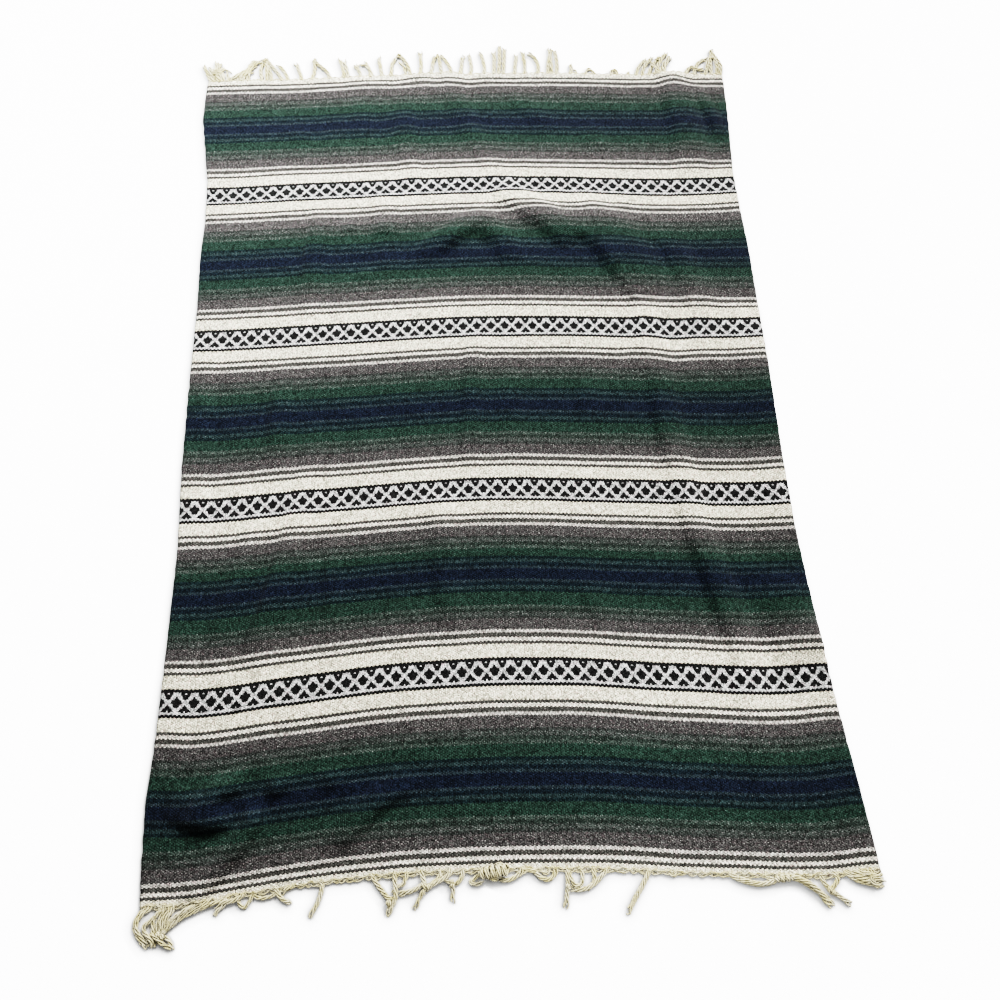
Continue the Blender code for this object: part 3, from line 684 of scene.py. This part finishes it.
farLocks = (
    # left corner
    Lock(-660, ((-668, 14), (-676, 34), (-686, 56)), 3),
    Lock(-654, ((-660, 16), (-664, 34), (-671, 42)), 3, 3),
    Lock(-648, ((-654, 20), (-650, 40), (-653, 64)), 3, 2),
    Lock(-640, ((-650, 16), (-656, 28), (-646, 42)), 3, 4),
    Lock(-632, ((-634, 18), (-640, 32), (-634, 44)), 2, 2),
    Lock(-622, ((-620, 12), (-625, 31)), 2),
    Lock(-611, ((-604, 10), (-588, 20), (-570, 32), (-552, 50), (-532, 63)), 3, 2),
    Lock(-600, ((-592, 8), (-578, 16), (-564, 30), (-552, 44)), 3, 3),
    Lock(-618, ((-606, 6), (-592, 10), (-578, 20), (-570, 26)), 3, 4),
    Lock(-659, ((-650, 12), (-640, 26), (-626, 33), (-616, 20)), 2, 3),
    Lock(-628, ((-632, 16), (-642, 28), (-656, 36)), 2, 3),
    Lock(-636, ((-640, 14), (-645, 28), (-643, 44), (-640, 62)), 3, 3),
    Lock(-592, ((-584, 10), (-572, 18), (-556, 25)), 2, 3),
    Lock(-570, ((-567, 25), (-565, 44), (-548, 56)), 2, 2),
    Lock(-522, ((-523, 16), (-524, 34), (-529, 62)), 3, 2),
    Lock(-583, ((-575, 20), (-567, 40), (-561, 55), (-551, 54)), 3, 2),
    Lock(-537, ((-536, 8), (-540, 32), (-531, 58)), 3),
    Lock(-510, ((-516, 24), (-522, 48), (-530, 68)), 3),
    Lock(-486, ((-490, 10), (-506, 32), (-519, 52), (-529, 62)), 3, 2),
    Lock(-469, ((-474, 14), (-485, 32), (-497, 49)), 3),
    Lock(-436, ((-440, 16), (-453, 54)), 3),
    Lock(-411, ((-406, 20), (-405, 40), (-408, 63)), 3),
    Lock(-366, ((-370, 12), (-380, 26), (-397, 44), (-405, 58)), 3, 2),
    Lock(-330, ((-334, 26), (-345, 64)), 3),
    Lock(-320, ((-324, 24), (-334, 56)), 2),
    Lock(-290, ((-293, 14), (-306, 38)), 3),
    Lock(-262, ((-264, 10), (-276, 31), (-290, 34), (-297, 27)), 2, 2),
    Lock(-264, ((-268, 20), (-280, 46)), 3),
    Lock(-237, ((-239, 20), (-247, 64)), 3),
    Lock(-213, ((-213, 18), (-209, 40), (-198, 60)), 3),
    Lock(-166, ((-170, 20), (-184, 50), (-195, 62)), 3, 2),
    Lock(-176, ((-182, 24), (-192, 46)), 2),
    Lock(-141, ((-139, 30), (-142, 69)), 3),
    Lock(-114, ((-111, 20), (-104, 58)), 3),
    Lock(-88, ((-91, 24), (-96, 61)), 3, 2),
    Lock(-64, ((-66, 18), (-78, 42), (-93, 60)), 3),
    Lock(-41, ((-38, 24), (-36, 54)), 3),
    Lock(-16, ((-13, 28), (-20, 70)), 3),
    Lock(19, ((19, 26), (11, 70)), 3),
    Lock(42, ((44, 30), (46, 70)), 3),
    Lock(54, ((58, 40), (59, 88)), 3),
    Lock(66, ((69, 36), (72, 82)), 3),
    Lock(94, ((97, 26), (102, 60)), 3),
    Lock(119, ((121, 30), (116, 71)), 3),
    Lock(152, ((154, 24), (148, 46), (131, 66)), 3),
    Lock(177, ((180, 30), (188, 78)), 3),
    Lock(188, ((187, 30), (184, 68)), 2, 2),
    Lock(198, ((202, 30), (197, 80)), 3),
    Lock(234, ((236, 14), (234, 38)), 3),
    Lock(246, ((250, 8), (246, 15)), 2),
    Lock(271, ((274, 9), (281, 15), (289, 9), (293, -3)), 2),
    Lock(335, ((337, 10), (343, 15), (350, 8), (351, -3)), 2),
    Lock(377, ((377, 6), (383, 13)), 2),
    # right cluster
    Lock(397, ((404, 20), (418, 40), (433, 52)), 3),
    Lock(412, ((420, 24), (448, 60)), 3, 2),
    Lock(428, ((440, 28), (458, 48), (464, 58)), 3),
    Lock(444, ((456, 30), (470, 54), (483, 70)), 3, 3),
    Lock(456, ((464, 22), (478, 44), (488, 56)), 2, 1),
    Lock(466, ((472, 24), (484, 44), (490, 54)), 2, 2),
    Lock(455, ((448, 16), (438, 34), (434, 44)), 2, 4),
    Lock(519, ((526, 12), (537, 21), (549, 14), (572, 14)), 3, 2),
    Lock(542, ((549, 24), (566, 43), (583, 45)), 3),
    Lock(570, ((576, 20), (582, 40), (594, 56)), 3, 2),
    Lock(585, ((586, 30), (590, 56), (595, 80)), 3),
    Lock(598, ((602, 22), (598, 44), (602, 62)), 3, 3),
    Lock(607, ((611, 24), (604, 46), (594, 66)), 3, 1),
)

# one row for each knot: its middle, length along the lock, radius over the coil, all in mm, and
# the way it points, in degrees from the x axis
Knot = namedtuple("Knot", "x out long radius turn")
nearKnots = (
    Knot(-600, 48, 14, 6, -30),
    Knot(-198, 48, 12, 6, -50),
    Knot(-133, 24, 14, 6, -20),
    Knot(-86, 23, 9, 5, -90),
    Knot(-9, 4, 46, 13, 6),
    Knot(-4, 5, 28, 11, 50),
    Knot(121, 32, 9, 5, -80),
    Knot(508, 6, 34, 7, 2),
    Knot(589, 27, 13, 6, -45),
)
farKnots = (
    Knot(-648, 22, 18, 8, 70),
    Knot(-590, 13, 14, 6, 25),
    Knot(-530, 60, 9, 5, 80),
    Knot(-405, 56, 8, 4.5, 90),
    Knot(-196, 60, 9, 5, 60),
    Knot(-97, 54, 9, 5, 80),
    Knot(455, 48, 12, 5, 50),
    Knot(592, 50, 10, 5, 80),
)


# floor place of a point given as x and its distance beyond a hem, and the hem's height there
def fringePlace(x, out, along, outward):
    line = stationAt(along)
    across = min(max((x / 1000 - line.left) / (line.right - line.left), 0.0), 1.0)
    return x / 1000, planPoint(across, along)[1] + outward * out / 1000, liftAt(across, along)


# evenly spaced points on a smooth curve through the given ones
def evenCurve(points, every):
    dense, steps = [], 12
    padded = [points[0], *points, points[-1]]
    for around in zip(padded, padded[1:], padded[2:], padded[3:]):
        for step in range(steps):
            dense.append(Vector([smoothBetween(*values, step / steps) for values in zip(*around)]))
    dense.append(Vector(points[-1]))
    even, spare = [dense[0]], 0.0
    for start, end in zip(dense, dense[1:]):
        gap = (end - start).length
        while spare + gap >= every:
            start = start.lerp(end, (every - spare) / gap)
            gap = (end - start).length
            even.append(start.copy())
            spare = 0.0
        spare += gap
    even.append(dense[-1])
    return even


# distance from a lock's middle to the middle of each yarn round it
def ringReach(yarns):
    return fringe["plyRadius"] / sin(pi / yarns)


# yarns laid round a centreline, as splines of one curve
def layYarns(curve, line, yarns, fray, seed, size=1.0):
    jitter = random.Random(seed)
    start = jitter.random() * 2 * pi
    radius = fringe["plyRadius"] * size
    for yarn in range(yarns):
        flare = jitter.uniform(-fringe["flare"], fringe["flare"]) * radius
        count = len(line) - (jitter.randrange(0, 5) if fray else 0)
        spline = curve.splines.new("POLY")
        spline.points.add(count - 1)
        for index in range(count):
            ahead = line[min(index + 1, len(line) - 1)] - line[max(index - 1, 0)]
            side = Vector((ahead.y, -ahead.x, 0)).normalized()
            share = index / (len(line) - 1)
            opened = max(0.0, (share - 1 + fringe["frayShare"]) / fringe["frayShare"]) if fray else 0.0
            loose = fringe["loose"] + fringe["slack"] * waver(seed * 1.7, yarn * 2.3, index * 0.15)
            turn = start + 2 * pi * (yarn / yarns + index * fringe["pointEvery"] / fringe["twistEvery"])
            reach = ringReach(yarns) * size
            spot = (line[index] + side * (cos(turn) * reach * loose * (1 + opened) + flare * opened)
                    + Vector((0, 0, sin(turn) * reach * fringe["flatness"] * (1 - 0.6 * opened))))
            spot.z = max(spot.z, radius + fringe["floorGap"])
            spline.points[index].co = (*spot, 1)
            spline.points[index].radius = size * (1 - fringe["tipThinning"] * opened)


def layLocks(curve, locks, along, outward):
    for number, lock in enumerate(locks):
        low = fringe["floorGap"] + fringe["plyRadius"] + ringReach(lock.yarns) * fringe["flatness"]
        root = () if lock.root is None else ((lock.root, fringe["rootOut"]),)
        line = []
        for across, out in root + lock.points:
            x, y, hemLift = fringePlace(across, out, along, outward)
            onHem = hemLift + cloth["thickness"] / 2
            drop = min(max(out / fringe["dropOver"], 0.0), 1.0)
            line.append((x, y, onHem + (low - onHem) * drop if drop < 1 else low))
        line = evenCurve(line, fringe["pointEvery"])
        for index, point in enumerate(line):
            point.z = max(point.z, low if index > 4 else point.z)
            point.z += lock.rise / 1000 * sin(pi * index / (len(line) - 1))
            wave = waver(number * 3.7, index * 0.22, outward)
            point.x += fringe["sway"] * wave * min(1, index / 6)
        layYarns(curve, line, lock.yarns, True, number, fringe["farSize"] if outward > 0 else 1.0)


# knots are a few close turns of one lock round another
def layKnots(curve, knots, along, outward):
    radius = fringe["plyRadius"]
    for number, knot in enumerate(knots):
        jitter = random.Random(100 + number)
        x, y, _ = fringePlace(knot.x, knot.out, along, outward)
        axis = Vector((cos(radians(knot.turn)), sin(radians(knot.turn)), 0))
        side = Vector((-axis.y, axis.x, 0))
        turns = max(2, round(knot.long / fringe["turnEvery"]))
        steps = turns * fringe["coilSteps"]
        reach = knot.radius / 1000 - radius * 1.9
        middle = Vector((x, y, reach * fringe["coilFlatness"] + 2 * radius + fringe["floorGap"]))
        line = []
        for index in range(steps + 1):
            share = index / steps
            angle = 2 * pi * share * turns
            swell = 0.75 + 0.3 * sin(pi * share) + jitter.uniform(-0.05, 0.05)
            slip = (share - 0.5) * knot.long / 1000 + 0.0016 * sin(angle * 0.5 + number)
            lift = Vector((0, 0, sin(angle) * reach * swell * fringe["coilFlatness"]))
            line.append(middle + axis * slip + side * cos(angle) * reach * swell + lift)
        layYarns(curve, line, fringe["coilYarns"], False, 300 + number)


def layHemCords(curve, along, outward):
    near = outward < 0
    for row, size in enumerate(hemCord["nearSizes"] if near else hemCord["farSizes"]):
        edge = (cloth["nearLip"] if near else 0.0) - hemCord["rowEvery"] * row
        line = []
        for step in range(hemCord["steps"] + 1):
            across = 0.002 + 0.996 * step / hemCord["steps"]
            x, y = planPoint(across, along)
            loose = waver(across * 45, outward + row, 4.0)
            phase = across * hemCord["scallops"] + 0.5 * row + 0.8 * loose
            scallop = hemCord["scallopHigh"] * abs(sin(pi * phase)) + 0.0012 * loose
            height = liftAt(across, along) + hemCord["lift"] + hemCord["rowLift"] * row
            line.append(Vector((x, y + outward * (edge + scallop - hemCord["inset"]), height)))
        layYarns(curve, line, hemCord["yarns"], False, 900 + outward + 10 * row, size)


def buildFringe(name, locks, knots, along, outward, node, material):
    curve = bpy.data.curves.new(name, "CURVE")
    curve.dimensions = "3D"
    curve.bevel_depth = fringe["plyRadius"]
    curve.bevel_resolution = 1
    curve.use_fill_caps = True
    layLocks(curve, locks, along, outward)
    layKnots(curve, knots, along, outward)
    layHemCords(curve, along, outward)
    strands = addObject(name + "Curve", curve)
    shape = strands.evaluated_get(bpy.context.evaluated_depsgraph_get())
    mesh = bpy.data.meshes.new_from_object(shape)
    mesh.name = name
    bpy.data.objects.remove(strands, do_unlink=True)
    mesh.materials.clear()
    for face in mesh.polygons:
        face.use_smooth = True
    return finishPiece(name, mesh, material, node)


# Cotton in two casts, each from its hollows to its crests: partly the fibre's own tone, partly painted shade
# in the hollows and painted highlight on the crests. Olive patches are painted shade where the plies part,
# and it is painted darker between yarns, where little light gets down.
cottonLook = {
    "pale": ("d7cb9e", "fdf6e3"),
    "warm": ("cab980", "f6ebc6"),
    # painted shade: olive patches standing in for the shade where plies part
    "paintedPlyShade": "8d8253",
    "paintedPlyShadeShare": 0.58,
    "groove": "564d2e",
    "grooveReach": 0.007,
    "surface": {"Roughness": 0.9, "Specular IOR Level": 0.25, "Sheen Weight": 0.3, "Sheen Roughness": 0.6},
}


def makeWarpYarn(look):
    material, tree, shader = startMaterial("looseSpunCotton", look["surface"])
    place = addNode(tree, "TexCoord").outputs[3]
    inMm = doVectors("MULTIPLY", place, (1000, 1000, 1000))
    fibreGrain = {"Scale": 0.9, "Detail": 3.0, "Roughness": 0.65}
    fibre = addNode(tree, "TexNoise", fibreGrain, {"Vector": inMm})
    fibreTone = spread(fibre, 0.3, 0.7)
    # painted shade and highlight: the noise that makes the fibre's bump also darkens its hollows and
    # lightens its crests
    pale = blend(fibreTone, *[colour(code) for code in look["pale"]])
    warm = blend(fibreTone, *[colour(code) for code in look["warm"]])
    cast = addNode(tree, "TexNoise", {"Scale": 0.05, "Detail": 2.0}, {"Vector": inMm})
    cast = spread(cast, 0.35, 0.65)
    shade = blend(cast, warm, pale)
    # painted shade: random olive patches where the plies part
    paintedPlyShade = addNode(tree, "TexNoise", {"Scale": 0.22, "Detail": 2.0}, {"Vector": inMm})
    paintedPlyShade = spread(paintedPlyShade, 0.50, 0.64, high=look["paintedPlyShadeShare"])
    shade = blend(paintedPlyShade, shade, colour(look["paintedPlyShade"]))
    reached = addNode(tree, "AmbientOcclusion", {"Distance": look["grooveReach"], "samples": 8})
    reached = spread(reached.outputs[1], 0.40, 0.86)
    shade = blend(reached, colour(look["groove"]), shade)
    tree.links.new(shade, shader.inputs["Base Color"])
    bump = addNode(tree, "Bump", {"Strength": 0.5, "Distance": 0.0004}, {"Height": fibre})
    tree.links.new(bump.outputs[0], shader.inputs["Normal"])
    return material


# Studio: a pale floor, a soft key from far right and two soft lamps, far left and near.
studio = {
    "floorSize": 7.0,
    "surface": {"Base Color": colour("f4f4f3"), "Roughness": 0.9, "Specular IOR Level": 0.1,
                "Emission Color": (1, 1, 1, 1)},
    "floorGlow": 6.0,
    "shadeReach": 0.022,    # how far from the cloth the glow fades into a painted shadow, on the side turned from the key
    "shadePower": 12.0,
    "towardsKey": (0.38, 0.52, 0.77),
    "skyStrength": 0.16,
}

Lamp = namedtuple("Lamp", "name place aim size watts colour")
lamps = (
    Lamp("key", (6.74, 9.47, 7.05), (0.0, 0.2, 0.0), 4.0, 2400, (1.0, 0.985, 0.965)),
    Lamp("side", (-0.65, 1.2, 1.6), (-0.6, 0.6, 0.0), 0.9, 44, (0.98, 0.99, 1.0)),
    Lamp("near", (0.32, -0.76, 0.5), (0.32, -0.76, 0.0), 0.4, 1.05, (0.98, 0.99, 1.0)),
)


def makeFloorPaint(look):
    material, tree, shader = startMaterial("matteFloorPaint", look["surface"])
    towardsKey = addNode(tree, "CombineXYZ", dict(enumerate(look["towardsKey"])))
    nearby = {"Distance": look["shadeReach"], "samples": 16}
    # painted shadow: the glow fades where cloth or yarn lies close, more on the side turned from the key
    reached = addNode(tree, "AmbientOcclusion", nearby, {"Normal": towardsKey})
    reached = doMath("POWER", reached.outputs[1], look["shadePower"])
    glow = doMath("MULTIPLY", reached, look["floorGlow"])
    tree.links.new(glow.outputs[0], shader.inputs["Emission Strength"])
    return material


def hangLamp(facts):
    lamp = bpy.data.lights.new(facts.name, "AREA")
    lamp.shape = "DISK"
    lamp.size = facts.size
    lamp.energy = facts.watts
    lamp.color = facts.colour
    light = addObject(facts.name, lamp)
    light.location = facts.place
    light.rotation_euler = (Vector(facts.aim) - light.location).to_track_quat("-Z", "Y").to_euler()


def buildStudio(look):
    bm = bmesh.new()
    bmesh.ops.create_grid(bm, x_segments=1, y_segments=1, size=look["floorSize"] / 2)
    mesh = bpy.data.meshes.new("studioFloor")
    bm.to_mesh(mesh)
    bm.free()
    mesh.materials.append(makeFloorPaint(look))
    floor = addObject("studioFloor", mesh)
    floor.visible_diffuse = False  # its glow stays off the yarns that lie on it
    for facts in lamps:
        hangLamp(facts)
    world = bpy.data.worlds.new("studioAir")
    world.use_nodes = True
    sky = world.node_tree.nodes["Background"].inputs
    sky[0].default_value = (1, 1, 1, 1)
    sky[1].default_value = look["skyStrength"]
    bpy.context.scene.world = world


# the camera, in metres, degrees and mm of lens and sensor
view = {"place": (0.00804, -0.648, 1.4874), "tilt": 16.835, "turn": -1.842, "lens": 27.0, "sensor": 36.0}
lens = bpy.data.cameras.new("camera")
lens.lens = view["lens"]
lens.sensor_width = view["sensor"]
camera = addObject("camera", lens)
camera.location = view["place"]
camera.rotation_euler = (radians(view["tilt"]), 0, radians(view["turn"]))
scene = bpy.context.scene
scene.camera = camera
scene.view_settings.view_transform = "Filmic"
scene.view_settings.look = "Very High Contrast"

buildStudio(studio)
print("studio ready")
serape = buildCloth(makeWovenCloth(wovenLook))
print("cloth ready")
warpYarn = makeWarpYarn(cottonLook)
farFringe = buildFringe("farFringe", farLocks, farKnots, cloth["length"], 1, "fringe_far", warpYarn)
nearFringe = buildFringe("nearFringe", nearLocks, nearKnots, 0.0, -1, "fringe_near", warpYarn)
print("fringe ready")
